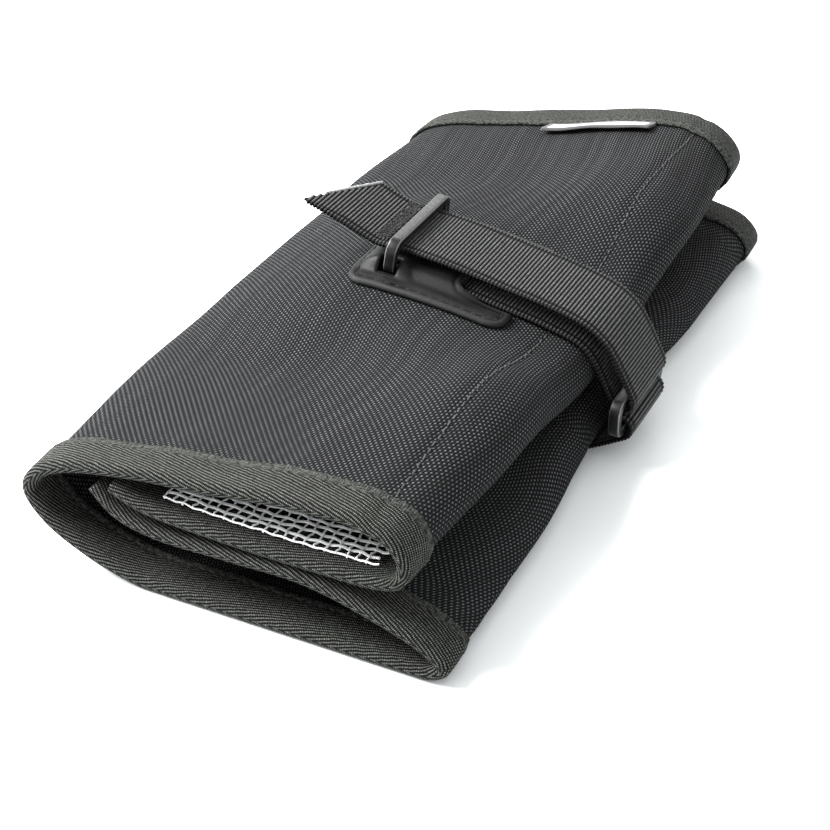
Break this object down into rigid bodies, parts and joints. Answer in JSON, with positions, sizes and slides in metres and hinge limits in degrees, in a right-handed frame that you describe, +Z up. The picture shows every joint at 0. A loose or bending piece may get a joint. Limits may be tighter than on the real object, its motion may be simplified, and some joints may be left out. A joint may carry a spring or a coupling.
{
  "type": "tool roll",
  "caption": "Small folded canvas tool roll with taped edges, an inner net pocket, a leather patch and a webbing strap closed through metal rings.",
  "frame": {"origin": "on the floor under the middle of the roll's outline", "axes": "+X across the roll towards its right-hand folds, +Y along the folds towards the end with the label, +Z up"},
  "size_m": [0.1192, 0.222, 0.0565],
  "materials": {
    "canvas": "plain woven canvas, matt dark grey",
    "tape": "herringbone edge tape, dark olive grey",
    "webbing": "ribbed flat webbing, dark grey with a slight sheen",
    "leather": "smooth grained leather, dark grey, pale cut edge",
    "net": "open white thread net",
    "gunmetal": "polished dark plating",
    "label": "folded dark cloth with a pale blank strip"
  },
  "bodies": {
    "root": {"canvas_shell": "canvas", "near_binding": "tape", "far_binding": "tape", "upper_flap_binding": "tape", "lower_flap_binding": "tape", "net_pocket": "net", "leather_patch": "leather", "strap": "webbing", "strap_tab": "webbing", "label": "label", "keeper_ring": "gunmetal", "cinch_ring": "gunmetal"}
  },
  "joints": []
}
